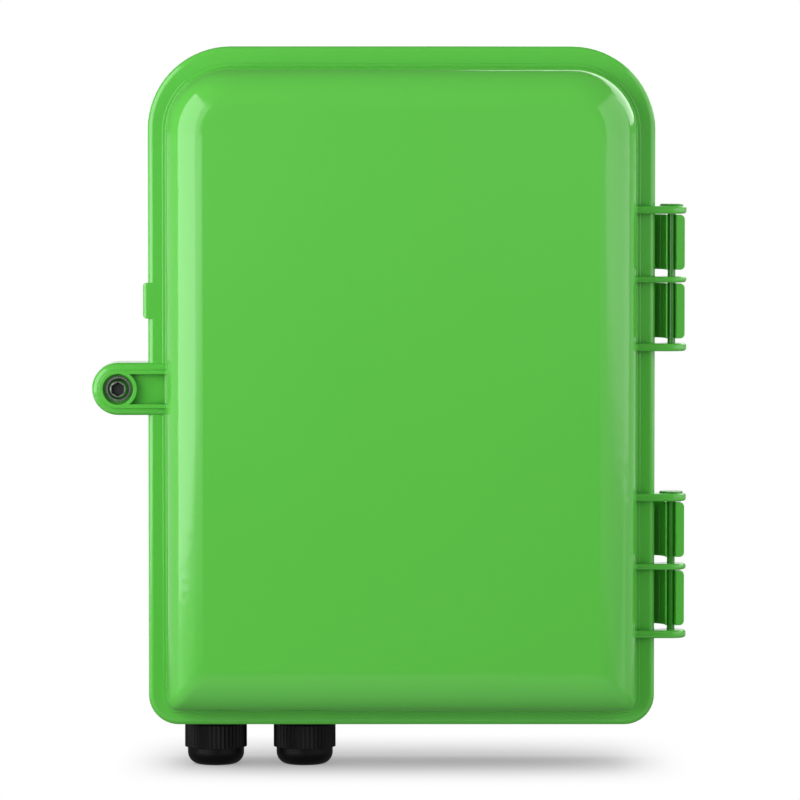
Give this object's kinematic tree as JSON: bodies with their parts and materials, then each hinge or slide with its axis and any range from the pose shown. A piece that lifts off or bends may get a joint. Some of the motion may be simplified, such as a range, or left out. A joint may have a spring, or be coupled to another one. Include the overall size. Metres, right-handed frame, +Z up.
{
  "type": "wall-mounted fibre cross-connect box",
  "caption": "Green plastic wall box for joining fibre cables, with a domed cover on snap hinges, a side lock screw and cable glands below.",
  "frame": {"origin": "middle of the back face of the base, on the wall", "axes": "+X to the right seen from the front, +Y back into the wall, +Z up; the cover faces -Y"},
  "size_m": [0.2581, 0.096, 0.3161],
  "materials": {
    "green_plastic": "gloss moulded",
    "seal_rubber": "matte",
    "black_nylon": "satin",
    "white_nylon": "satin",
    "zinc_steel": "zinc plated",
    "insert_brass": "turned",
    "tray_plastic": "satin",
    "clear_lid": "clear",
    "panel_steel": "powder coated",
    "adapter_blue": "satin"
  },
  "bodies": {
    "base": {"base_shell": "green_plastic", "lock_insert": "insert_brass", "clamp_screws": "zinc_steel", "splice_tray": "tray_plastic", "splice_tray_lid": "clear_lid", "tray_screws": "zinc_steel", "adapter_panel": "panel_steel", "panel_screws": "zinc_steel", "gland_washer_left": "seal_rubber", "gland_body_left": "black_nylon", "gland_nut_left": "black_nylon", "gland_seal_left": "seal_rubber", "gland_locknut_left": "black_nylon", "cable_clamp_left": "white_nylon", "gland_washer_right": "seal_rubber", "gland_body_right": "black_nylon", "gland_nut_right": "black_nylon", "gland_seal_right": "seal_rubber", "gland_locknut_right": "black_nylon", "cable_clamp_right": "white_nylon", "adapter_1": "adapter_blue", "adapter_2": "adapter_blue", "adapter_3": "adapter_blue", "adapter_4": "adapter_blue", "adapter_5": "adapter_blue", "adapter_6": "adapter_blue", "adapter_7": "adapter_blue", "adapter_8": "adapter_blue"},
    "cover": {"front_cover": "green_plastic", "cover_gasket": "seal_rubber", "hinge_rod_upper": "green_plastic", "hinge_rod_lower": "green_plastic", "lock_retainer": "white_nylon"},
    "bolt": {"lock_bolt": "zinc_steel", "lock_washer": "zinc_steel"}
  },
  "joints": [
    {"name": "cover_hinge", "type": "hinge", "parent": "base", "child": "cover", "pos_m": [0.1172, -0.063, 0], "axis": [0, 0, 1], "range_deg": [0, 120]},
    {"name": "lock_bolt_slide", "type": "slide", "parent": "cover", "child": "bolt", "axis": [0, -1, 0], "range_m": [0, 0.01]}
  ]
}
